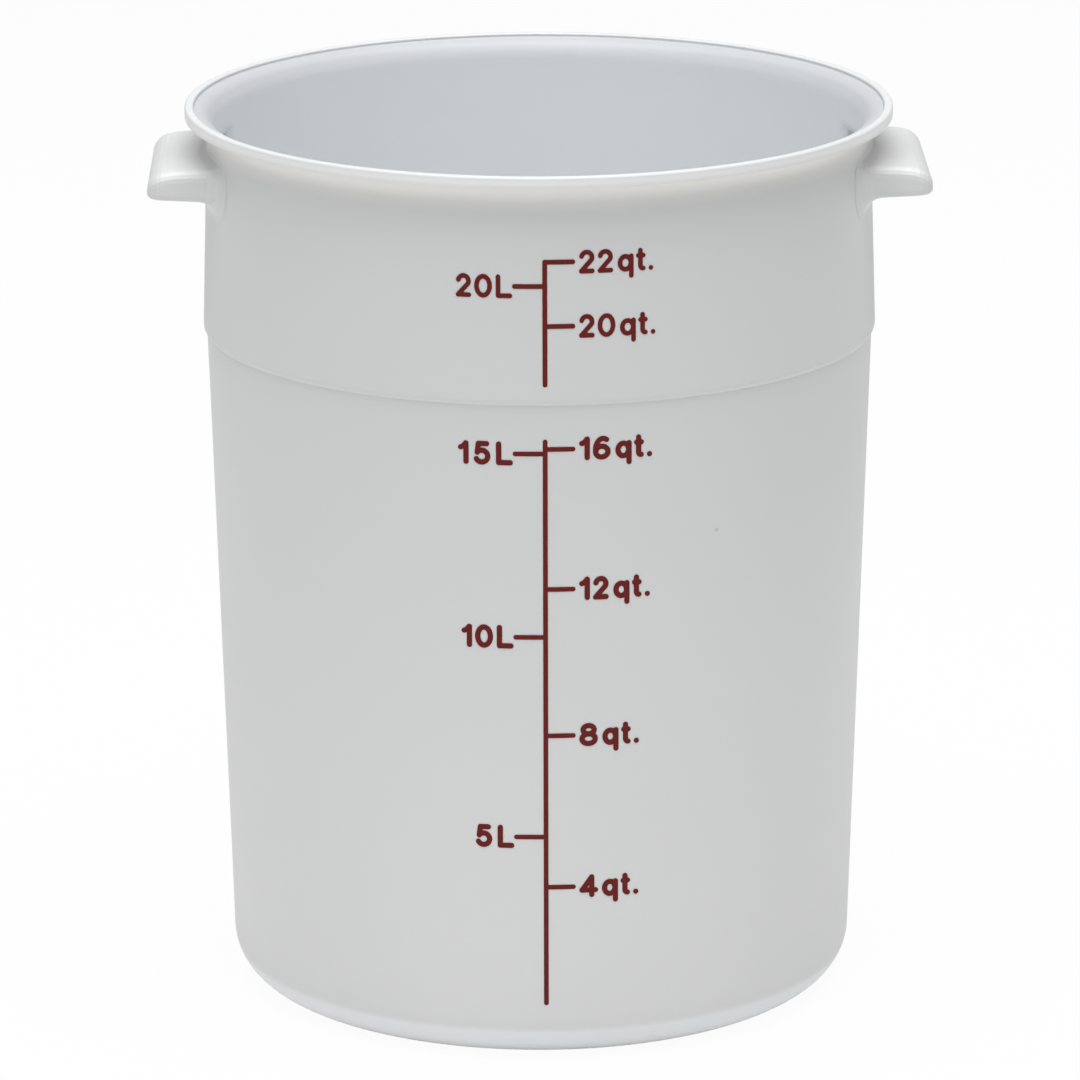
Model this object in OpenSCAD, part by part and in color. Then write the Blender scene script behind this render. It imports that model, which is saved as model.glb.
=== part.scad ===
// Round open-top dough proofing tub, moulded in white polyethylene.
// The wall leans out from a rounded base to a stacking shoulder, above it stands a plain
// band, and the rim flares out to a thick lip. Two hollow grips are blown out of the band
// and stay open to the inside. A volume scale is printed on the front, on -Y.
// The origin is the centre of the resting plane, +Z is up and the grips lie along X.

/* [Body] */
// Height from the resting plane to the top of the lip
total_h = 381; // [374:1:400]
// Outer radius that the lower wall would have at the resting plane
base_r = 132; // [126:0.5:136]
// Outer radius at the top of the lower wall
shoulder_r = 140.6; // [138:0.2:146]
// Height of the corner under the shoulder
shoulder_z = 284.9; // [282:0.5:289]
// How far the shoulder steps out
shoulder_step = 1.5; // [1:0.1:3]
// Rounding of the shoulder's outer edge
shoulder_round = 3.4; // [2:0.1:3.4]
// How far the upper band leans in from the shoulder to the rim
band_lean = 2.4; // [0:0.1:4]
// Thickness of the wall
wall_t = 3; // [2.4:0.1:3.8]
// Outer radius of the corner between wall and base
corner_r = 21; // [14:0.5:26]

/* [Base] */
// Height of the inside floor above the resting plane
floor_z = 4.6; // [4:0.1:6]
// Width of the ring that the tub stands on
foot_w = 12; // [8:1:24]
// Depth of the recess inside the ring
foot_h = 1.5; // [0.8:0.1:2]
// Width of the slope from the ring into the recess
foot_slope = 3; // [2:0.5:5]
// Radius of the dimple left by the gate
gate_r = 7; // [5:0.5:10]
// Depth of that dimple
gate_h = 0.8; // [0.4:0.1:1]

/* [Rim] */
// Height of the rim above the plain band
rim_h = 15; // [14:0.5:18]
// How far the lip stands out from the top of the band
lip_out = 9; // [8.5:0.25:12]
// Height of the lip's outer face
lip_h = 4.7; // [4:0.1:6]
// Width of the lip on top
lip_w = 3.8; // [3:0.1:4.5]
// Height of the small step inside the lip
bead_h = 1.8; // [1.2:0.1:2.4]
// Radius of the flare under the lip
flare_r = 7.5; // [5:0.25:7.5]
// Rounding of the lip's top edges
lip_round = 1.1; // [0.5:0.1:1.2]
// Rounding of the lip's lower edge
lip_under = 0.6; // [0.3:0.1:0.8]

/* [Handles] */
// Length of a grip along the wall
grip_len = 87; // [70:1:96]
// How far a grip stands out from the band
grip_out = 23.5; // [20:0.5:30]
// Distance from the top of the lip down to the flat top of a grip
grip_drop = 20.1; // [20:0.1:24]
// Height of a grip at its root
grip_h = 13.9; // [12:0.1:18]
// How much the underside rises from root to tip
grip_rise = 1.9; // [0:0.1:3]
// Thickness of a grip's skin
grip_t = 2.8; // [2.2:0.1:3.2]
// Radius of the fillet round a grip's root
root_r = 8; // [6:0.5:9]
// Radius of that fillet on the top side
root_top_r = 4.6; // [3:0.1:5]
// Rounding of the hollow's mouth
mouth_r = 5.5; // [3:0.1:6]
// Rounding of the tip, seen from above
tip_r = 6; // [4:0.5:8]
// Length over which the top falls away to the tip
crown_len = 14.4; // [10:0.2:15]
// Rounding of the long top edges
edge_r = 4.4; // [3:0.1:4.8]
// Rounding of the long lower edges
edge_low_r = 2.6; // [1.5:0.1:3]

/* [Printed scale] */
// Width of a printed stroke
stroke_w = 1.95; // [1.2:0.05:3]
// Thickness of the ink
ink_t = 0.15; // [0.1:0.05:0.3]
// Length of a quart mark, from the middle of the spine
quart_len = 11.3; // [8:0.1:16]
// Length of a litre mark, from the middle of the spine
litre_len = 12.2; // [8:0.1:16]
// Bottom end of the lower spine
spine_low_z = 26.9; // [24:0.5:40]
// Gap from the shoulder's corner down to the lower spine
spine_gap_low = 15.2; // [12:0.2:16]
// Gap from the shoulder's corner up to the upper spine
spine_gap_up = 9; // [8:0.2:20]
// Heights of the quart marks on the lower wall: 4, 8, 12 and 16
low_quarts = [78, 144, 207, 266.5]; // [40:0.5:268]
// Heights of the litre marks on the lower wall: 5, 10 and 15
low_litres = [100, 186.5, 264.6]; // [40:0.5:268]
// Heights of the quart marks on the band, as shares of the band's height: 20 and 22
up_quarts = [0.397, 0.729]; // [0.2:0.001:0.9]
// Height of the litre mark on the band, as a share of the band's height: 20
up_litre = 0.604; // [0.2:0.001:0.9]

/* [Hidden] */
$fn = 180;

plastic = [0.93, 0.94, 0.94];
ink = [0.48, 0.10, 0.08];

rim_z = total_h - rim_h;
band_low_z = shoulder_z + shoulder_step;
band_low_r = shoulder_r + shoulder_step;
band_top_r = band_low_r - band_lean;
lip_r = band_top_r + lip_out;
lip_z = total_h - lip_h;
foot_out_r = base_r - corner_r;

// Small roundings that the mould leaves: under the shoulder, inside it, on the foot, by the bead
crease_r = 0.3;
step_r = 2;
foot_blend_r = 2;
foot_edge_r = 1;
bead_r = 0.6;
// Degrees between two points of a rounding
arc_step = 5;

// Outer radius of the lower wall and of the band at height z
function low_r(z) = base_r + (shoulder_r - base_r)*z/shoulder_z;
function band_r(z) = band_low_r - band_lean*(z - band_low_z)/(rim_z - band_low_z);

function unit(v) = v/norm(v);
function shortest(a) = a > 180 ? a - 360 : a < -180 ? a + 360 : a;

// Arc of radius r that rounds vertex p between its neighbours a and b
function corner(a, p, b, r) =
    let (u = unit(a - p), w = unit(b - p), half = acos(u*w)/2)
    let (c = p + unit(u + w)*r/sin(half))
    let (s = p + u*r/tan(half) - c, e = p + w*r/tan(half) - c)
    let (from = atan2(s[1], s[0]), turn = shortest(atan2(e[1], e[0]) - from))
    let (n = ceil(abs(turn)/arc_step))
    [for (i = [0:n]) c + r*[cos(from + turn*i/n), sin(from + turn*i/n)]];

// Closed outline whose vertices are [radius, height, rounding]
function rounded(v) =
    let (n = len(v))
    [for (i = [0:n - 1])
        let (p = [v[i][0], v[i][1]], a = v[(i + n - 1)%n], b = v[(i + 1)%n])
        each v[i][2] == 0 ? [p] : corner([a[0], a[1]], p, [b[0], b[1]], v[i][2])];

// Half section of floor, lower wall, shoulder and band
function tub_section() = [
    [0, foot_h + gate_h, 0],
    [gate_r, foot_h + gate_h, 0],
    [gate_r, foot_h, 0],
    [foot_out_r - foot_w - foot_slope, foot_h, foot_blend_r],
    [foot_out_r - foot_w, 0, foot_edge_r],
    [base_r, 0, corner_r],
    [shoulder_r, shoulder_z, crease_r],
    [band_low_r, band_low_z, shoulder_round],
    [band_top_r, rim_z, 0],
    [band_top_r - wall_t, rim_z, 0],
    [band_low_r - wall_t, band_low_z + wall_t/2, step_r],
    [shoulder_r - wall_t, shoulder_z + wall_t/2, step_r],
    [low_r(floor_z) - wall_t, floor_z, corner_r - wall_t],
    [0, floor_z, 0]
];

// Half section of flare and lip
function rim_section() = [
    [band_top_r, rim_z, 0],
    [band_r(lip_z), lip_z, flare_r],
    [lip_r, lip_z, lip_under],
    [lip_r, total_h, lip_round],
    [lip_r - lip_w, total_h, lip_round],
    [lip_r - lip_w, total_h - bead_h, bead_r],
    [band_r(total_h - bead_h) - wall_t, total_h - bead_h, flare_r],
    [band_top_r - wall_t, rim_z, 0]
];

module turned(section) {
    rotate_extrude() polygon(rounded(section));
}

// Grips
// A grip is lofted from slices that start on the round wall and are straightened, slice by
// slice, into the flat tip. A slice is a rounded rectangle in Y and Z.
grip_z = total_h - grip_drop;
grip_mid_z = grip_z - grip_h/2;
root_steps = 5;
mid_steps = 4;
tip_steps = 5;
edge_steps = 4;
span_steps = 10;
// The top fillet and the hollow's mouth end below the rim
top_fillet_gap = 0.4;
top_fillet_r = min(root_top_r, rim_z - grip_z - top_fillet_gap);
mouth_gap = 1;
hollow_mouth_r = min(mouth_r, rim_z - grip_z + grip_t - mouth_gap);
// Least roundings of the hollow
hollow_tip_r = 2;
hollow_edge_r = 1;
// Height of the flat edge left at the very tip
tip_band = 0.5;
// The underside rounds up to the tip over this share of the tip's radius
low_tip_share = 1/3;
// Power of the curve by which the top falls to the tip
crown_power = 2.4;
// An edge rounding takes at most this share of a slice's height
edge_share = 0.45;
// How far the outside starts within the band, and the hollow past the inner face
grip_sunk = 1.5;
hollow_past = 2;
// The cone that cuts the grips reaches this far below their fillets
core_margin = 4;

// Growth of a slice at distance d from the wall, for a fillet of radius r
function grow(d, r) = d >= r ? 0 : r - sqrt(r*r - pow(r - max(d, 0), 2));
// Shrinkage of a slice that lies u beyond the start of a rounding of radius r
function shrink(u, r) = u <= 0 ? 0 : r - sqrt(max(r*r - u*u, 0));
// Soft step from 0 to 1
function ease(u) = let (t = min(max(u, 0), 1)) t*t*(3 - 2*t);
// Share of the height that is left at a fraction u of the crown's length
function crown(u) = pow(1 - pow(min(max(u, 0), 1), crown_power), 1/crown_power);
// Radius of the tip of a form that lies skin inside the grip's outside
function tip_of(skin) = max(tip_r - skin, hollow_tip_r);

// Distances from the wall at which slices are cut: the fillet, the plain part and the tip
function stations(depth, root, tip) = concat(
    [for (i = [0:root_steps]) root*(1 - cos(90*i/root_steps))],
    [for (i = [1:mid_steps]) root + (depth - root - tip)*i/mid_steps],
    [for (i = [1:tip_steps]) depth - tip + tip*sin(90*i/tip_steps)]);

// Steps first to last of a quarter circle about (y, z) that turns down from an angle
function quarter(y, z, r, from, first, last) =
    [for (i = [first:last]) let (q = from - 90*i/edge_steps) [y + r*cos(q), z + r*sin(q)]];

// Points of one slice: half length a, top zt, bottom zb, upper and lower edge rounding ct, cb
function slice(a, zt, zb, ct, cb) = concat(
    [for (i = [0:span_steps]) [(a - ct)*(2*i/span_steps - 1), zt]],
    quarter(a - ct, zt - ct, ct, 90, 1, edge_steps),
    quarter(a - cb, zb + cb, cb, 0, 0, edge_steps),
    [for (i = [1:span_steps]) [(a - cb)*(1 - 2*i/span_steps), zb]],
    quarter(cb - a, zb + cb, cb, -90, 1, edge_steps),
    quarter(ct - a, zt - ct, ct, 180, 0, edge_steps - 1));

// One slice of the grip's outside, or of its hollow when skin is above 0. inner is how far
// the face that it starts from lies inside the band's outer face.
function grip_slice(d, depth, skin, inner, root, root_top) =
    let (tip = tip_of(skin), low_tip = tip*low_tip_share)
    let (rise = grip_rise*d/grip_out)
    let (low = grip_z - grip_h + skin + rise, high = grip_z - skin)
    let (tip_rise = shrink(d - depth + low_tip, low_tip))
    let (fall = (high - low - low_tip - tip_band)*(1 - crown((d - depth + crown_len)/crown_len)))
    let (zt = high - fall + grow(d, root_top), zb = low + tip_rise - grow(d, root))
    let (a = grip_len/2 - skin - shrink(d - depth + tip, tip) + grow(d, root))
    let (room = (zt - zb)*edge_share)
    let (ct = min(max(edge_r - skin, hollow_edge_r) + grow(d, root_top), room))
    let (cb = min(max(edge_low_r - skin, hollow_edge_r) + grow(d, root), room))
    let (flat = ease((d - root)/(depth - root - tip)))
    let (r0 = band_r(grip_mid_z) - inner)
    [for (p = slice(a, zt, zb, ct, cb))
        let (wall = sqrt(pow(band_r(p[1]) - inner, 2) - p[0]*p[0]))
        [d + wall + flat*(r0 - wall), p[0], p[1]]];

// Closed loft through the slices, with a point in the middle of each end face. The first
// slice is repeated a distance sunk further in.
module grip_form(skin, inner, root, root_top, sunk) {
    depth = grip_out - skin + inner;
    cuts = stations(depth, root, tip_of(skin));
    first = grip_slice(0, depth, skin, inner, root, root_top);
    rings = concat(
        [[for (p = first) p - [sunk, 0, 0]]],
        [for (d = cuts) grip_slice(d, depth, skin, inner, root, root_top)]);
    n = len(first);
    last = len(rings) - 1;
    root_middle = [band_r(grip_mid_z) - inner - sunk, 0, grip_mid_z];
    tip_middle = (rings[last][0] + rings[last][span_steps + 2*edge_steps + 1])/2;
    polyhedron(
        points = concat([for (r = rings) each r], [root_middle, tip_middle]),
        faces = concat(
            [for (k = [0:last - 1], i = [0:n - 1])
                let (j = (i + 1)%n)
                each [[k*n + i, k*n + j, (k + 1)*n + j], [k*n + i, (k + 1)*n + j, (k + 1)*n + i]]],
            [for (i = [0:n - 1]) [n*(last + 1), (i + 1)%n, i]],
            [for (i = [0:n - 1]) [n*(last + 1) + 1, last*n + i, last*n + (i + 1)%n]]));
}

module grip_hollow() {
    grip_form(grip_t, wall_t, hollow_mouth_r, hollow_mouth_r, hollow_past);
}

// The band as a solid cone, to cut the grips to the wall
module band_core() {
    low = grip_z - grip_h - root_r - core_margin;
    high = total_h;
    rotate_extrude() polygon([[0, low], [band_r(low), low], [band_r(high), high], [0, high]]);
}

module tub() {
    color(plastic) difference() {
        turned(tub_section());
        grip_hollow();
        mirror([1, 0, 0]) grip_hollow();
    }
}

module rim() {
    color(plastic) turned(rim_section());
}

module right_handle() {
    color(plastic) difference() {
        grip_form(0, 0, root_r, top_fillet_r, grip_sunk);
        band_core();
        grip_hollow();
    }
}

module left_handle() {
    mirror([1, 0, 0]) right_handle();
}

// Printed scale
// A stroke runs along x or z, with round ends
module stroke(x0, z0, x1, z1) {
    s = stroke_w/2;
    translate([min(x0, x1) - (x0 == x1 ? s : 0), min(z0, z1) - (z0 == z1 ? s : 0)])
        square([abs(x1 - x0) + (x0 == x1 ? stroke_w : 0), abs(z1 - z0) + (z0 == z1 ? stroke_w : 0)]);
    translate([x0, z0]) circle(s);
    translate([x1, z1]) circle(s);
}

// Spine from low to high, with its marks
module scale_strokes(low, high, quarts, litres) {
    stroke(0, low, 0, high);
    for (z = quarts) stroke(0, z, quart_len, z);
    for (z = litres) stroke(-litre_len, z, 0, z);
}

// Keeps the strokes as a film on the front of the wall, between two heights
module film(r_low, z_low, r_high, z_high) {
    intersection() {
        rotate_extrude() polygon([
            [r_low, z_low], [r_low + ink_t, z_low], [r_high + ink_t, z_high], [r_high, z_high]]);
        rotate([90, 0, 0]) linear_extrude(total_h) children();
    }
}

module upper_scale_print() {
    low = band_low_z + shoulder_round;
    band_h = rim_z - band_low_z;
    quarts = [for (share = up_quarts) band_low_z + share*band_h];
    litre = band_low_z + up_litre*band_h;
    color(ink) film(band_r(low), low, band_r(rim_z), rim_z)
        scale_strokes(shoulder_z + spine_gap_up, max(quarts), quarts, [litre]);
}

module lower_scale_print() {
    color(ink) film(low_r(corner_r), corner_r, low_r(shoulder_z), shoulder_z)
        scale_strokes(spine_low_z, shoulder_z - spine_gap_low, low_quarts, low_litres);
}

tub();
rim();
left_handle();
right_handle();
upper_scale_print();
lower_scale_print();
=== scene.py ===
"""Finish of a round dough proofing tub: satin white polyethylene and a dark red printed scale.

The frame holds the tub, its rim, its grips and the strokes of the scale. This file adds the
numbers of the scale, the materials, the studio and the camera. Lengths are in metres.
"""

import math

import bpy
import numpy as np
from mathutils import Matrix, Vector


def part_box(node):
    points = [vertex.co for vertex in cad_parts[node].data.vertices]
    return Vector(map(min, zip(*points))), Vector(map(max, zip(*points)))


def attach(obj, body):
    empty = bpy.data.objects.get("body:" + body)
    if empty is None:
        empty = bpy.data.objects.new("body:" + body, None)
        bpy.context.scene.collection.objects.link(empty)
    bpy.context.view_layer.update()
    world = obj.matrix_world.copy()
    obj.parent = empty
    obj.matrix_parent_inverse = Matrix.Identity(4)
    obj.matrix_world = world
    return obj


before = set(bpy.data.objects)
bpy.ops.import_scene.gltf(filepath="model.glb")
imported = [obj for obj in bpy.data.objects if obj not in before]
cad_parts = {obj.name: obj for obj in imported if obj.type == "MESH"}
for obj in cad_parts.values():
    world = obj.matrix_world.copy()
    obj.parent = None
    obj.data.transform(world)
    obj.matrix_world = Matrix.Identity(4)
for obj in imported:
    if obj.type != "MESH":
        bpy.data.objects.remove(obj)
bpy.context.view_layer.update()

bl_info = {
    "name": "Dough tub finish",
    "version": (1, 0, 0),
    "blender": (4, 5, 0),
    "location": "View3D > Sidebar > Dough tub",
    "description": "Prints the scale of a round dough tub and gives the tub its finish",
    "category": "Object",
}

ROOT = "root"
PLASTIC_NODES = ("tub", "rim", "left_handle", "right_handle")
INK_NODES = ("upper_scale_print", "lower_scale_print")
MM = 0.001
RIM_LOW, RIM_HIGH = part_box("rim")
TOP = RIM_HIGH[2]

# Heights between which the plastic changes colour, from low to high
FOOT_FADE = (2 * MM, 18 * MM)
FLOOR_FADE = (3 * MM, 4.5 * MM)
# Height from which the outside is painted darker up to the band: painted shade
BAND_SHADE_LOW = 50 * MM
# Heights over which the wall under the lip is painted lighter and warmer: painted light
UNDER_LIP_LIGHT_FADE = (TOP - 17 * MM, TOP - 7 * MM)
# Heights over which painted shade darkens the flare's inner face
FLARE_SHADE_FADE = (TOP - 9.5 * MM, TOP - 4.5 * MM)
# Heights over which the lip turns to its painted light
LIP_FADE = (TOP - 4.5 * MM, TOP - 3 * MM)
MOUTH_FADE = (TOP - 4.4 * MM, TOP - 4 * MM)
# Heights over which painted shade darkens the lip's top
LIP_TOP_FADE = (TOP - 1.4 * MM, TOP - 0.4 * MM)
# Shares of the wall's thickness between which its colour turns from outside to inside, where it is
# painted lighter as painted light
DEPTH_FADE = (0.2, 0.45)
# How far the flare's painted shade keeps in from the rim's outside, past the lip's inner
# edge, and how softly it ends
NECK_MARGIN = 0.8 * MM
MOUTH_MARGIN = 0.3 * MM
MOUTH_SOFTNESS = 0.3 * MM
# How strongly each tint, painted light and painted shade shows
FOOT_WARMTH = 0.7
UNDER_LIP_LIGHT_SHARE = 0.8
LIP_TOP_PAINTED_SHADE = 0.45
CLOUD_SHARE = 0.05
SPECK_SHARE = 0.5
THIN_INK_SHARE = 0.22
# Noise in the plastic and the ink: its scale, and the values between which it shows
CLOUD_SCALE = 9.0
CLOUD_RANGE = (0.35, 0.65)
FINE_SKIN_SCALE = 420.0
COARSE_SKIN_SCALE = 60.0
COARSE_SKIN_SHARE = 0.8
MOTTLE_SCALE = 520.0
MOTTLE_RANGE = (0.3, 0.7)
# How much rougher the plastic is where it is cloudy, and the ink where it is thin
CLOUD_ROUGHNESS = 0.06
MOTTLE_ROUGHNESS = 0.1
INK_ROUGHNESS = 0.48
INK_GLOSS = 0.25
POLYETHYLENE_IOR = 1.51

# Small dark specks in the wall: in front, behind and at the right
SPECK_R = 1.1 * MM
SPECKS = (
    (0.0705, -0.1195, 0.2266),
    (-0.0335, 0.1315, 0.120),
    (0.1345, 0.010, 0.090),
)

# Each number of the scale: name, text, height of its mark in mm, side of the spine, and
# whether it is on the band
MARKS = (
    ("number_22_quarts", "22qt.", 344.4, 1, True),
    ("number_20_quarts", "20qt.", 318.0, 1, True),
    ("number_20_litres", "20L", 334.5, -1, True),
    ("number_16_quarts", "16qt.", 266.5, 1, False),
    ("number_12_quarts", "12qt.", 207.0, 1, False),
    ("number_8_quarts", "8qt.", 144.0, 1, False),
    ("number_4_quarts", "4qt.", 78.0, 1, False),
    ("number_15_litres", "15L", 264.6, -1, False),
    ("number_10_litres", "10L", 186.5, -1, False),
    ("number_5_litres", "5L", 100.0, -1, False),
)
ARC_POINTS = 33

FLOOR_HALF = 12.0
# How much of the floor the camera sees as plain white
FLOOR_WHITE = 0.95
LAMP_AIM = (0.0, 0.0, 0.2)
TOP_LAMP_PLACE = (0.0, -0.3, 2.6)
TOP_LAMP_SIZE = 2.4
FRONT_LAMP_PLACE = (-1.6, -2.6, 1.5)
FRONT_LAMP_SIZE = 1.6
SENSOR_MM = 36.0


def length(name, default, description):
    """A size in metres."""
    return bpy.props.FloatProperty(
        name=name, description=description, default=default, unit="LENGTH")


def angle(name, default, description):
    """An angle in radians."""
    return bpy.props.FloatProperty(
        name=name, description=description, default=default, unit="ROTATION")


def amount(name, default, description):
    """A plain number."""
    return bpy.props.FloatProperty(name=name, description=description, default=default, min=0.0)


def tint(name, default, description):
    """A colour."""
    return bpy.props.FloatVectorProperty(
        name=name, description=description, default=default, subtype="COLOR")


class TubSizes(bpy.types.PropertyGroup):
    """Sizes of the wall that the numbers are printed on, and of the rim."""

    base_r: length("Base radius", 0.132, "Outer radius of the lower wall at the resting plane")
    shoulder_r: length("Shoulder radius", 0.1406, "Outer radius at the top of the lower wall")
    shoulder_z: length("Shoulder height", 0.2849, "Height of the corner under the shoulder")
    shoulder_step: length("Shoulder step", 0.0015, "How far the shoulder steps out, and up")
    band_lean: length("Band lean", 0.0024, "How far the band leans in from shoulder to rim")
    rim_z: length("Rim height", RIM_LOW[2], "Height at which the rim starts")
    lip_r: length("Lip radius", RIM_HIGH[1], "Outer radius of the lip")
    lip_w: length("Lip width", 0.0038, "Width of the lip on top")
    wall_t: length("Wall", 0.003, "Thickness of the wall")


class TubPrint(bpy.types.PropertyGroup):
    """Sizes of the printed numbers."""

    upper_height: length("Upper height", 0.0097, "Height of a number on the band")
    lower_height: length("Lower height", 0.0100, "Height of a number on the lower wall")
    upper_stroke: length("Upper stroke", 0.0019, "Width of a number's stroke on the band")
    lower_stroke: length("Lower stroke", 0.0022, "Width of a number's stroke on the lower wall")
    quart_start: length("Quart numbers", 0.0138, "Distance from the spine to the quart numbers")
    litre_end: length("Litre numbers", 0.0131, "Distance from the spine to the litre numbers")
    drop: length("Drop", 0.0049, "Distance from a mark down to the foot of its number")
    gap: length("Gap", 0.00125, "Gap between two figures of a number")
    ink_t: length("Ink", 0.00015, "Thickness of the ink")
    grain: length("Grain", 0.0002, "Width of a cell of the ink's surface")


class TubColours(bpy.types.PropertyGroup):
    """Colours and gloss of the finishes."""

    plastic: tint("Plastic", (0.800, 0.802, 0.804), "Polyethylene outside, near the foot")
    # Darker than the plastic near the foot: painted shade on the band
    band: tint("Band", (0.735, 0.742, 0.744), "Polyethylene outside, at the band")
    # Lighter than the outside: painted light for light from above and through the wall
    inside: tint("Inside", (0.900, 0.918, 0.935), "Polyethylene inside")
    # Also painted light: the wall under the lip is painted lighter with this colour
    cream_and_painted_light: tint("Cream", (0.90, 0.885, 0.85), "Warmer tint of the thick corners")
    # Darker: painted shade on the flare's inner face, also used on the lip's top
    flare: tint("Flare", (0.585, 0.60, 0.62), "Inner face of the rim's flare")
    # Lighter than the wall: painted light on the lip
    lip: tint("Lip", (0.93, 0.935, 0.935), "Lip round the mouth")
    cloud: tint("Cloud", (0.72, 0.725, 0.73), "Clouding in the polyethylene")
    speck: tint("Speck", (0.45, 0.42, 0.39), "Specks in the polyethylene")
    ink: tint("Ink", (0.135, 0.006, 0.004), "Printed scale")
    thin_ink: tint("Thin ink", (0.25, 0.025, 0.020), "Printed scale where the ink is thin")
    floor: tint("Floor", (0.90, 0.90, 0.90), "Floor of the studio")
    roughness: amount("Roughness", 0.40, "Roughness of the polyethylene")


class TubStage(bpy.types.PropertyGroup):
    """Camera and lamps."""

    distance: length("Distance", 2.85546, "Horizontal distance from the tub's axis to the camera")
    height: length("Height", 0.98292, "Height of the camera")
    pitch: angle("Pitch", 0.2710, "How far the camera looks down")
    turn: angle("Turn", math.radians(0.9), "How far the camera stands round to the left")
    roll: angle("Roll", -0.003, "Roll of the camera")
    lens: amount("Lens", 231.1, "Focal length in mm for a sensor 36 mm wide")
    sky: amount("Sky", 0.35, "Strength of the even light from all round")
    top_light: amount("Top light", 64.0, "Power of the overhead lamp in watts")
    front_light: amount("Front light", 5.0, "Power of the front lamp in watts")


class Wire:
    """A value in a material. An expression on wires adds its Math nodes to the tree."""

    def __init__(self, tree, socket):
        self.tree = tree
        self.socket = socket

    def math(self, operation, *values):
        """The output of a Math node that takes the values in order."""
        node = self.tree.node("ShaderNodeMath", {"operation": operation}, dict(enumerate(values)))
        return Wire(self.tree, node.outputs[0])

    def __add__(self, other):
        return self.math("ADD", self, other)

    def __sub__(self, other):
        return self.math("SUBTRACT", self, other)

    def __mul__(self, other):
        return self.math("MULTIPLY", self, other)

    def __truediv__(self, other):
        return self.math("DIVIDE", self, other)

    def __rsub__(self, other):
        return self.math("SUBTRACT", other, self)

    __radd__ = __add__
    __rmul__ = __mul__

    def root(self):
        return self.math("SQRT", self)

    def least(self, other):
        return self.math("MINIMUM", self, other)

    def clamped(self):
        """The value kept between 0 and 1."""
        return self.math("MAXIMUM", self, 0.0).least(1.0)

    def step(self, low, high):
        """0 at low, 1 at high and straight between."""
        return ((self - low) / (high - low)).clamped()


class Tree:
    """The node tree of one material."""

    def __init__(self, name):
        self.material = bpy.data.materials.new(name)
        self.material.use_nodes = True
        self.nodes = self.material.node_tree.nodes
        self.links = self.material.node_tree.links
        self.nodes.clear()

    def node(self, kind, settings=None, sockets=None):
        """Adds a node, applies its settings, then sets or links its sockets."""
        node = self.nodes.new(kind)
        for key, value in (settings or {}).items():
            setattr(node, key, value)
        for key, value in (sockets or {}).items():
            if isinstance(value, Wire):
                self.links.new(value.socket, node.inputs[key])
            else:
                node.inputs[key].default_value = value
        return node

    def place(self):
        """Object coordinates as a vector wire and its three parts."""
        coordinates = self.node("ShaderNodeTexCoord").outputs["Object"]
        vector = Wire(self, coordinates)
        parts = self.node("ShaderNodeSeparateXYZ", sockets={0: vector})
        return vector, [Wire(self, socket) for socket in parts.outputs]

    def noise(self, vector, scale, detail):
        """Smooth noise from 0 to 1."""
        sockets = {"Vector": vector, "Scale": scale, "Detail": detail}
        return Wire(self, self.node("ShaderNodeTexNoise", sockets=sockets).outputs["Fac"])

    def spot(self, vector, place, radius):
        """1 near a place and 0 beyond the radius."""
        settings = {"operation": "DISTANCE"}
        away = self.node("ShaderNodeVectorMath", settings, {0: vector, 1: place}).outputs["Value"]
        return 1.0 - Wire(self, away).step(0.4 * radius, radius)

    def mix(self, factor, first, second):
        """A colour between first and second."""
        settings = {"data_type": "RGBA"}
        sockets = {0: factor, 6: opaque(first), 7: opaque(second)}
        return Wire(self, self.node("ShaderNodeMix", settings, sockets).outputs[2])

    def bump(self, height, strength, distance):
        """A normal tilted by the slope of a height."""
        sockets = {"Strength": strength, "Distance": distance, "Height": height}
        return Wire(self, self.node("ShaderNodeBump", sockets=sockets).outputs[0])

    def finish(self, shader):
        """Links the last shader to the output."""
        self.node("ShaderNodeOutputMaterial", sockets={"Surface": Wire(self, shader.outputs[0])})
        return self.material


def opaque(colour):
    """A colour with alpha 1, or the wire that it already is."""
    return colour if isinstance(colour, Wire) else (*colour, 1.0)


def wall_cones(sizes, z):
    """Outer radii at height z, a number array or a wire, of the two cones of the wall.

    The lower wall widens steadily from the base to the shoulder. The band starts one step
    out from the shoulder and leans in steadily up to the rim.
    """
    lower_slope = (sizes.shoulder_r - sizes.base_r) / sizes.shoulder_z
    band_z = sizes.shoulder_z + sizes.shoulder_step
    band_slope = -sizes.band_lean / (sizes.rim_z - band_z)
    lower = z * lower_slope + sizes.base_r
    band = (z - band_z) * band_slope + (sizes.shoulder_r + sizes.shoulder_step)
    return lower, band


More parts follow.
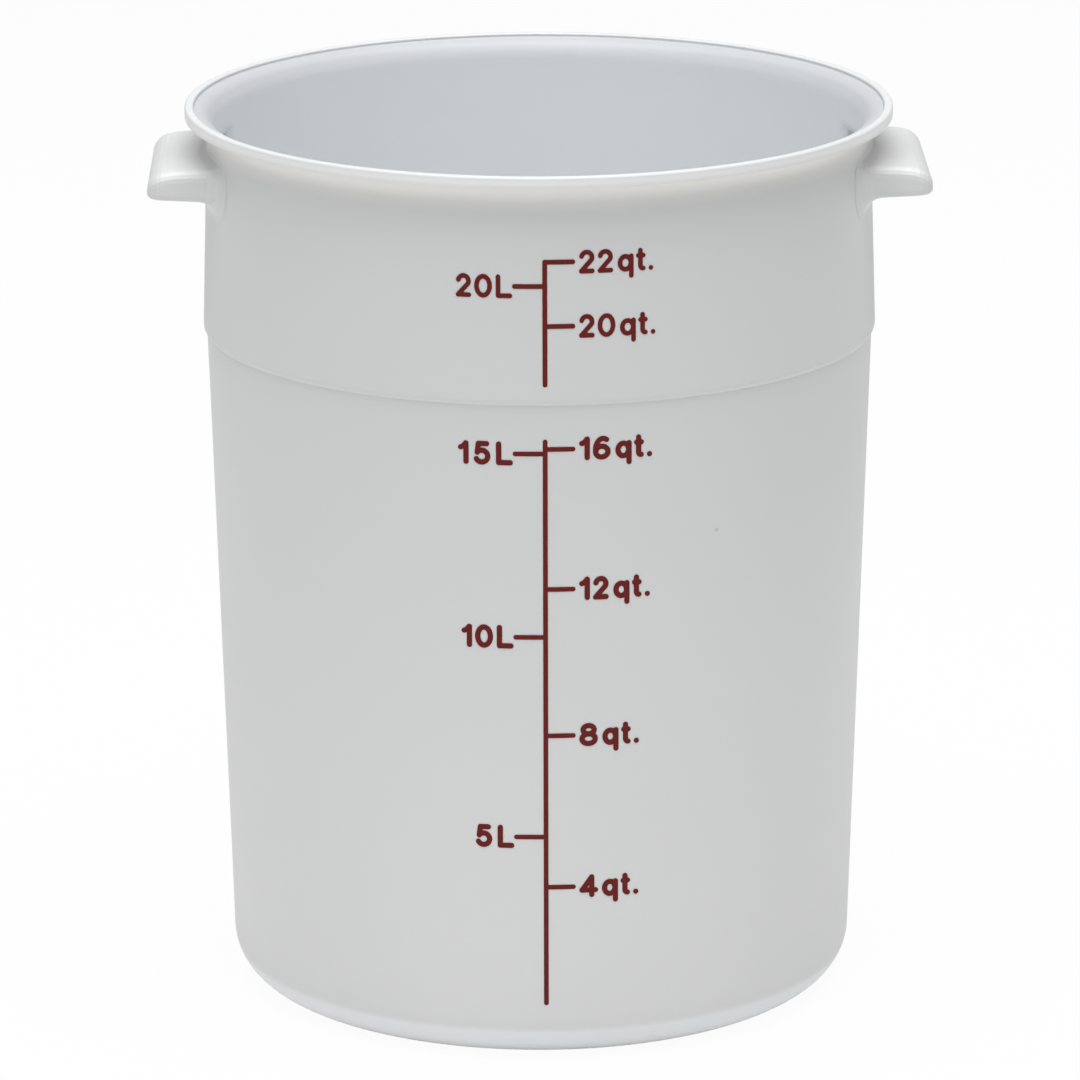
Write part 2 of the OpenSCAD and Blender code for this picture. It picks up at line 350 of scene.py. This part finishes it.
def plastic_material(sizes, colours):
    """Satin polyethylene, faintly cloudy, with painted light and painted shade in its colour.

    The inside is painted lighter, as painted light for light from above and through the wall,
    and is cooler in tint; it is where the distance from the axis falls short of the outer wall.
    The band is painted darker, as painted shade. The lip is painted lighter, as painted light,
    and its top carries painted shade. The flare's inner face is painted darker, as painted shade;
    it is where the distance falls short of the neck or of the lip's inner edge. The thick corners
    at the foot and under the lip are warmer and lighter; under the lip this lightness is painted light.
    Clouding is low noise in colour and roughness, the moulded skin is a fine bump, and a few
    grey specks are round spots at set places.
    """
    tree = Tree("white_polyethylene")
    vector, (x, y, z) = tree.place()
    radius = (x * x + y * y).root()
    lower, band = wall_cones(sizes, z)
    # The inside is painted lighter: painted light for light from above and through the wall
    inside = ((lower.least(band) - radius) / sizes.wall_t).step(*DEPTH_FADE)
    inside = inside * z.step(*FLOOR_FADE)
    # The flare's inner face is painted darker: painted shade
    neck_r = sizes.shoulder_r + sizes.shoulder_step - sizes.band_lean - NECK_MARGIN
    mouth_r = sizes.lip_r - sizes.lip_w + MOUTH_MARGIN
    mouth = z.step(*MOUTH_FADE) * (mouth_r - neck_r) + neck_r
    flare = (mouth - radius).step(0.0, MOUTH_SOFTNESS) * z.step(*FLARE_SHADE_FADE)
    lip = z.step(*LIP_FADE)

    # The outside is painted darker from low on the wall up to the band: painted shade
    band_shade = z.step(BAND_SHADE_LOW, sizes.shoulder_z + sizes.shoulder_step)
    outside = tree.mix(band_shade, colours.plastic, colours.band)
    colour = tree.mix(inside, outside, colours.inside)
    # The foot and the wall under the lip turn lighter and warmer; under the lip this is painted light
    foot = 1.0 - z.step(*FOOT_FADE)
    under_lip_light = z.step(*UNDER_LIP_LIGHT_FADE) * (1.0 - lip)
    warmth_and_light = (foot * FOOT_WARMTH + under_lip_light * UNDER_LIP_LIGHT_SHARE).clamped() * (1.0 - inside)
    colour = tree.mix(warmth_and_light, colour, colours.cream_and_painted_light)
    # The lip is painted lighter as painted light, and its top darker as painted shade
    lip_light_and_shade = tree.mix(z.step(*LIP_TOP_FADE) * LIP_TOP_PAINTED_SHADE, colours.lip, colours.flare)
    colour = tree.mix(lip, colour, lip_light_and_shade)
    # Painted shade on the flare's inner face
    colour = tree.mix(flare, colour, colours.flare)
    cloud = tree.noise(vector, CLOUD_SCALE, detail=3.0).step(*CLOUD_RANGE)
    colour = tree.mix(cloud * CLOUD_SHARE, colour, colours.cloud)
    for place in SPECKS:
        colour = tree.mix(tree.spot(vector, place, SPECK_R) * SPECK_SHARE, colour, colours.speck)

    coarse_skin = tree.noise(vector, COARSE_SKIN_SCALE, detail=1.0) * COARSE_SKIN_SHARE
    skin = tree.noise(vector, FINE_SKIN_SCALE, detail=2.0) + coarse_skin
    shader = tree.node("ShaderNodeBsdfPrincipled", sockets={
        "Base Color": colour,
        "Roughness": cloud * CLOUD_ROUGHNESS + colours.roughness,
        "IOR": POLYETHYLENE_IOR,
        "Normal": tree.bump(skin, strength=0.05, distance=0.4 * MM),
    })
    return tree.finish(shader)


def ink_material(colours):
    """Screen printed ink: flat, with a faint mottle where it lies thinner."""
    tree = Tree("red_ink")
    vector, _ = tree.place()
    mottle = tree.noise(vector, MOTTLE_SCALE, detail=3.0).step(*MOTTLE_RANGE)
    shader = tree.node("ShaderNodeBsdfPrincipled", sockets={
        "Base Color": tree.mix(mottle * THIN_INK_SHARE, colours.ink, colours.thin_ink),
        "Roughness": mottle * MOTTLE_ROUGHNESS + INK_ROUGHNESS,
        "Specular IOR Level": INK_GLOSS,
        "Normal": tree.bump(mottle, strength=0.1, distance=0.1 * MM),
    })
    return tree.finish(shader)


def floor_material(colours):
    """Pale floor that the camera sees nearly white, with the tub's shadow kept on it."""
    tree = Tree("studio_floor")
    light_path = tree.node("ShaderNodeLightPath").outputs
    seen = Wire(tree, light_path["Is Camera Ray"]) + Wire(tree, light_path["Is Glossy Ray"])
    seen = (seen + Wire(tree, light_path["Is Transmission Ray"])).clamped()
    paint = tree.node("ShaderNodeBsdfDiffuse", sockets={"Color": opaque(colours.floor)})
    white = tree.node("ShaderNodeEmission", sockets={"Color": (1.0, 1.0, 1.0, 1.0), "Strength": 1.0})
    mixed = tree.node("ShaderNodeMixShader", sockets={
        0: seen * FLOOR_WHITE, 1: Wire(tree, paint.outputs[0]), 2: Wire(tree, white.outputs[0])})
    return tree.finish(mixed)


def dress(node, material):
    """Gives every slot of a frame node the same material."""
    if not node.material_slots:
        node.data.materials.append(material)
    for place in node.material_slots:
        place.material = material


def line(*points):
    """A straight path through points of the unit box."""
    return np.array(points, dtype=float)


def arc(middle, radii, start, end):
    """Part of an ellipse: middle plus radii times the cosine and sine of an angle in degrees."""
    angles = np.radians(np.linspace(start, end, ARC_POINTS))
    return np.array(middle) + np.array(radii) * np.stack([np.cos(angles), np.sin(angles)], axis=1)


def joined(*paths):
    """One path through several, in order."""
    return np.concatenate(paths)


# Each figure is its width as a share of the height, and the middle lines of its strokes in
# the unit box, 0 to 1 from the left and from the foot
FIGURES = {
    "0": (0.75, [arc((0.5, 0.5), (0.5, 0.5), 0, 360)]),
    "1": (0.44, [joined(line((0, 0.77), (0.45, 0.82)), line((0.97, 1), (1, 1)), line((1, 0)))]),
    "2": (0.655, [joined(arc((0.5, 0.72), (0.48, 0.28), 168, -28), line((0, 0), (1, 0)))]),
    "4": (0.78, [line((0.72, 0), (0.72, 1), (0, 0.27), (1, 0.27))]),
    "5": (0.70, [joined(line((0.9, 1), (0.2, 1)), line((0.1, 0.52)),
                        arc((0.48, 0.32), (0.52, 0.32), 128, -152))]),
    "6": (0.73, [arc((0.5, 0.29), (0.5, 0.29), 0, 360), arc((0.6, 0.42), (0.6, 0.58), 192, 62)]),
    "8": (0.77, [arc((0.5, 0.27), (0.5, 0.27), 0, 360), arc((0.5, 0.77), (0.42, 0.23), 0, 360)]),
    "L": (0.69, [line((0, 1), (0, 0), (1, 0))]),
    "q": (0.68, [arc((0.48, 0.34), (0.48, 0.34), 0, 360), line((1, 0.69), (1, -0.34))]),
    "t": (0.41, [joined(line((0.42, 0.95)), arc((0.95, 0.16), (0.53, 0.16), 180, 275)),
                 line((0, 0.68), (1, 0.68))]),
    ".": (0.0, [line((0, 0), (0, 0))]),
}
# Gaps that differ from the common one, as a share of it
PAIR_GAPS = {"15": 1.6, "5L": 1.8, "2q": 1.55, "0q": 1.55, "6q": 1.6, "8q": 1.5, "4q": 1.3,
             "qt": 0.85, "0L": 1.2, "t.": 1.1}


def number_paths(text, height, stroke, gap):
    """Middle lines of a number's strokes, its left edge and foot at 0, and its full width."""
    paths = []
    left = 0.0
    for index, figure in enumerate(text):
        share, shapes = FIGURES[figure]
        width = max(share * height, stroke)
        box = np.array([width - stroke, height - stroke])
        paths += [shape * box + stroke / 2 + np.array([left, 0.0]) for shape in shapes]
        left += width + gap * PAIR_GAPS.get(text[index:index + 2], 1.0)
    return paths, left - gap


def nearest(points, paths):
    """The closest point on any path to each point, found over all segments at once."""
    starts = np.concatenate([path[:-1] for path in paths])
    ends = np.concatenate([path[1:] for path in paths])
    along = ends - starts
    squared = np.maximum((along ** 2).sum(axis=1), 1e-18)
    offset = points[:, None, :] - starts[None, :, :]
    share = np.clip((offset * along).sum(axis=2) / squared, 0.0, 1.0)
    feet = starts + share[..., None] * along
    distance = np.linalg.norm(points[:, None, :] - feet, axis=2)
    best = distance.argmin(axis=1)
    rows = np.arange(len(points))
    return feet[rows, best], distance[rows, best]


def ink_patch(paths, stroke, grain):
    """Flat patch covered by strokes: points and the four corners of each cell.

    A grid of cells covers the strokes. A cell is inked where its middle lies within half a
    stroke of a path, and corners on the edge of the ink are moved out or in to exactly that
    distance, so that the outline is smooth.
    """
    every = np.concatenate(paths)
    low = every.min(axis=0) - stroke
    count = np.ceil((every.max(axis=0) + stroke - low) / grain).astype(int)
    columns, rows = np.meshgrid(np.arange(count[0] + 1), np.arange(count[1] + 1), indexing="ij")
    points = low + grain * np.stack([columns.ravel(), rows.ravel()], axis=1)
    index = np.arange(len(points)).reshape(columns.shape)
    corners = np.stack([index[:-1, :-1], index[1:, :-1], index[1:, 1:], index[:-1, 1:]], axis=-1)
    corners = corners.reshape(-1, 4)
    _, distance = nearest(points[corners].mean(axis=1), paths)
    inked = distance < stroke / 2
    used, faces = np.unique(corners[inked], return_inverse=True)
    on_edge = np.isin(used, corners[~inked])
    faces = faces.reshape(-1, 4)
    points = points[used]
    feet, distance = nearest(points[on_edge], paths)
    points[on_edge] = feet + (points[on_edge] - feet) * (stroke / 2 / distance)[:, None]
    return points, faces


def open_edges(faces):
    """Edges that only one face has, in that face's direction."""
    edges = np.stack([faces, np.roll(faces, -1, axis=1)], axis=-1).reshape(-1, 2)
    keys = np.sort(edges, axis=1)
    _, first, times = np.unique(keys, axis=0, return_index=True, return_counts=True)
    return edges[first[times == 1]]


def wrapped(points, sizes, lift):
    """Puts flat points on the wall: x runs round it from the front, y is the height.

    The bearing is x over the wall's radius at that height, and the point stands off the wall
    by the lift.
    """
    lower, band = wall_cones(sizes, points[:, 1])
    radius = np.where(points[:, 1] < sizes.shoulder_z, lower, band)
    bearing = points[:, 0] / radius
    away = radius + lift
    return np.stack([away * np.sin(bearing), -away * np.cos(bearing), points[:, 1]], axis=1)


def new_piece(name, points, faces, material):
    """Makes a mesh object at the origin that rides on the tub."""
    mesh = bpy.data.meshes.new(name)
    mesh.from_pydata(points.tolist(), [], faces.tolist())
    mesh.materials.append(material)
    piece = bpy.data.objects.new(name, mesh)
    bpy.context.scene.collection.objects.link(piece)
    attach(piece, ROOT)


def printed_number(name, text, mark_z, side, upper, sizes, prints, material):
    """One number as a closed film of ink: the patch above the wall, its back and its edge."""
    height = prints.upper_height if upper else prints.lower_height
    stroke = prints.upper_stroke if upper else prints.lower_stroke
    paths, width = number_paths(text, height, stroke, prints.gap)
    left = prints.quart_start if side > 0 else -prints.litre_end - width
    paths = [path + np.array([left, mark_z - prints.drop]) for path in paths]
    points, faces = ink_patch(paths, stroke, prints.grain)
    count = len(points)
    start, end = open_edges(faces).T
    edge_faces = np.stack([end, start, start + count, end + count], axis=1)
    front = wrapped(points, sizes, prints.ink_t)
    back = wrapped(points, sizes, -prints.ink_t)
    new_piece(name, np.concatenate([front, back]),
              np.concatenate([faces, faces[:, ::-1] + count, edge_faces]),
              material)


def add_floor(scene, material):
    """A flat square at the height that the tub stands on."""
    corners = [(-FLOOR_HALF, -FLOOR_HALF, 0.0), (FLOOR_HALF, -FLOOR_HALF, 0.0),
               (FLOOR_HALF, FLOOR_HALF, 0.0), (-FLOOR_HALF, FLOOR_HALF, 0.0)]
    mesh = bpy.data.meshes.new("studio_floor")
    mesh.from_pydata(corners, [], [(0, 1, 2, 3)])
    mesh.materials.append(material)
    floor = bpy.data.objects.new("studio_floor", mesh)
    scene.collection.objects.link(floor)


def add_sky(scene, strength):
    """Even white light from all round, seen as white by the camera."""
    world = bpy.data.worlds.new("studio")
    world.use_nodes = True
    scene.world = world
    nodes = world.node_tree.nodes
    links = world.node_tree.links
    background = nodes["Background"]
    light_path = nodes.new("ShaderNodeLightPath")
    strength_node = nodes.new("ShaderNodeMix")
    strength_node.inputs[2].default_value = strength
    strength_node.inputs[3].default_value = 1.0
    links.new(light_path.outputs["Is Camera Ray"], strength_node.inputs[0])
    links.new(strength_node.outputs[0], background.inputs["Strength"])
    background.inputs["Color"].default_value = (1.0, 1.0, 1.0, 1.0)


def add_lamp(scene, name, place, size, watts):
    """A square soft box at a place, turned to face the tub."""
    data = bpy.data.lights.new(name, "AREA")
    data.size = size
    data.energy = watts
    lamp = bpy.data.objects.new(name, data)
    direction = np.array(LAMP_AIM) - np.array(place)
    lamp.location = place
    yaw = math.atan2(direction[0], direction[1])
    tilt = math.atan2(math.hypot(direction[0], direction[1]), -direction[2])
    lamp.rotation_euler = (tilt, 0.0, -yaw)
    scene.collection.objects.link(lamp)


def add_camera(scene, stage):
    """Camera on a circle round the axis: turned to face it, tipped down and rolled."""
    data = bpy.data.cameras.new("camera")
    data.sensor_width = SENSOR_MM
    data.lens = stage.lens
    camera = bpy.data.objects.new("camera", data)
    place = (-stage.distance * math.sin(stage.turn), -stage.distance * math.cos(stage.turn), stage.height)
    camera.matrix_world = (
        Matrix.Translation(place)
        @ Matrix.Rotation(-stage.turn, 4, "Z")
        @ Matrix.Rotation(math.pi / 2 - stage.pitch, 4, "X")
        @ Matrix.Rotation(stage.roll, 4, "Z"))
    scene.collection.objects.link(camera)
    scene.camera = camera


class TUB_OT_finish(bpy.types.Operator):
    """Give the moulded parts their satin white finish"""

    bl_idname = "tub.finish"
    bl_label = "Finish the tub"

    def execute(self, context):
        scene = context.scene
        material = plastic_material(scene.tub_sizes, scene.tub_colours)
        for name in PLASTIC_NODES:
            dress(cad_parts[name], material)
        return {"FINISHED"}


class TUB_OT_numbers(bpy.types.Operator):
    """Ink the strokes of the scale and print its numbers on the wall"""

    bl_idname = "tub.numbers"
    bl_label = "Print the numbers"

    def execute(self, context):
        scene = context.scene
        material = ink_material(scene.tub_colours)
        for name in INK_NODES:
            dress(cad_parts[name], material)
        for name, text, height, side, upper in MARKS:
            printed_number(name, text, height * MM, side, upper,
                           scene.tub_sizes, scene.tub_print, material)
        return {"FINISHED"}


class TUB_OT_stage(bpy.types.Operator):
    """Set up the floor, the soft light and the camera"""

    bl_idname = "tub.stage"
    bl_label = "Build the studio"

    def execute(self, context):
        scene = context.scene
        stage = scene.tub_stage
        add_floor(scene, floor_material(scene.tub_colours))
        add_sky(scene, stage.sky)
        add_lamp(scene, "top_lamp", TOP_LAMP_PLACE, TOP_LAMP_SIZE, stage.top_light)
        add_lamp(scene, "front_lamp", FRONT_LAMP_PLACE, FRONT_LAMP_SIZE, stage.front_light)
        add_camera(scene, stage)
        scene.view_settings.view_transform = "Standard"
        return {"FINISHED"}


class TUB_PT_panel(bpy.types.Panel):
    """Lists the steps that finish the tub"""

    bl_label = "Dough tub"
    bl_idname = "TUB_PT_panel"
    bl_space_type = "VIEW_3D"
    bl_region_type = "UI"
    bl_category = "Dough tub"

    def draw(self, context):
        for operator in OPERATORS:
            self.layout.operator(operator.bl_idname)
        for group in GROUPS:
            settings = getattr(context.scene, group)
            for name in settings.__annotations__:
                self.layout.prop(settings, name)


GROUPS = {"tub_sizes": TubSizes, "tub_print": TubPrint, "tub_colours": TubColours, "tub_stage": TubStage}
OPERATORS = (TUB_OT_finish, TUB_OT_numbers, TUB_OT_stage)
CLASSES = (*GROUPS.values(), *OPERATORS, TUB_PT_panel)


def register():
    for kind in CLASSES:
        bpy.utils.register_class(kind)
    for name, group in GROUPS.items():
        setattr(bpy.types.Scene, name, bpy.props.PointerProperty(type=group))


def unregister():
    for name in GROUPS:
        delattr(bpy.types.Scene, name)
    for kind in reversed(CLASSES):
        bpy.utils.unregister_class(kind)


def main():
    """Runs the steps in order."""
    register()
    bpy.ops.tub.finish()
    bpy.ops.tub.numbers()
    bpy.ops.tub.stage()


if __name__ == "__main__":
    main()
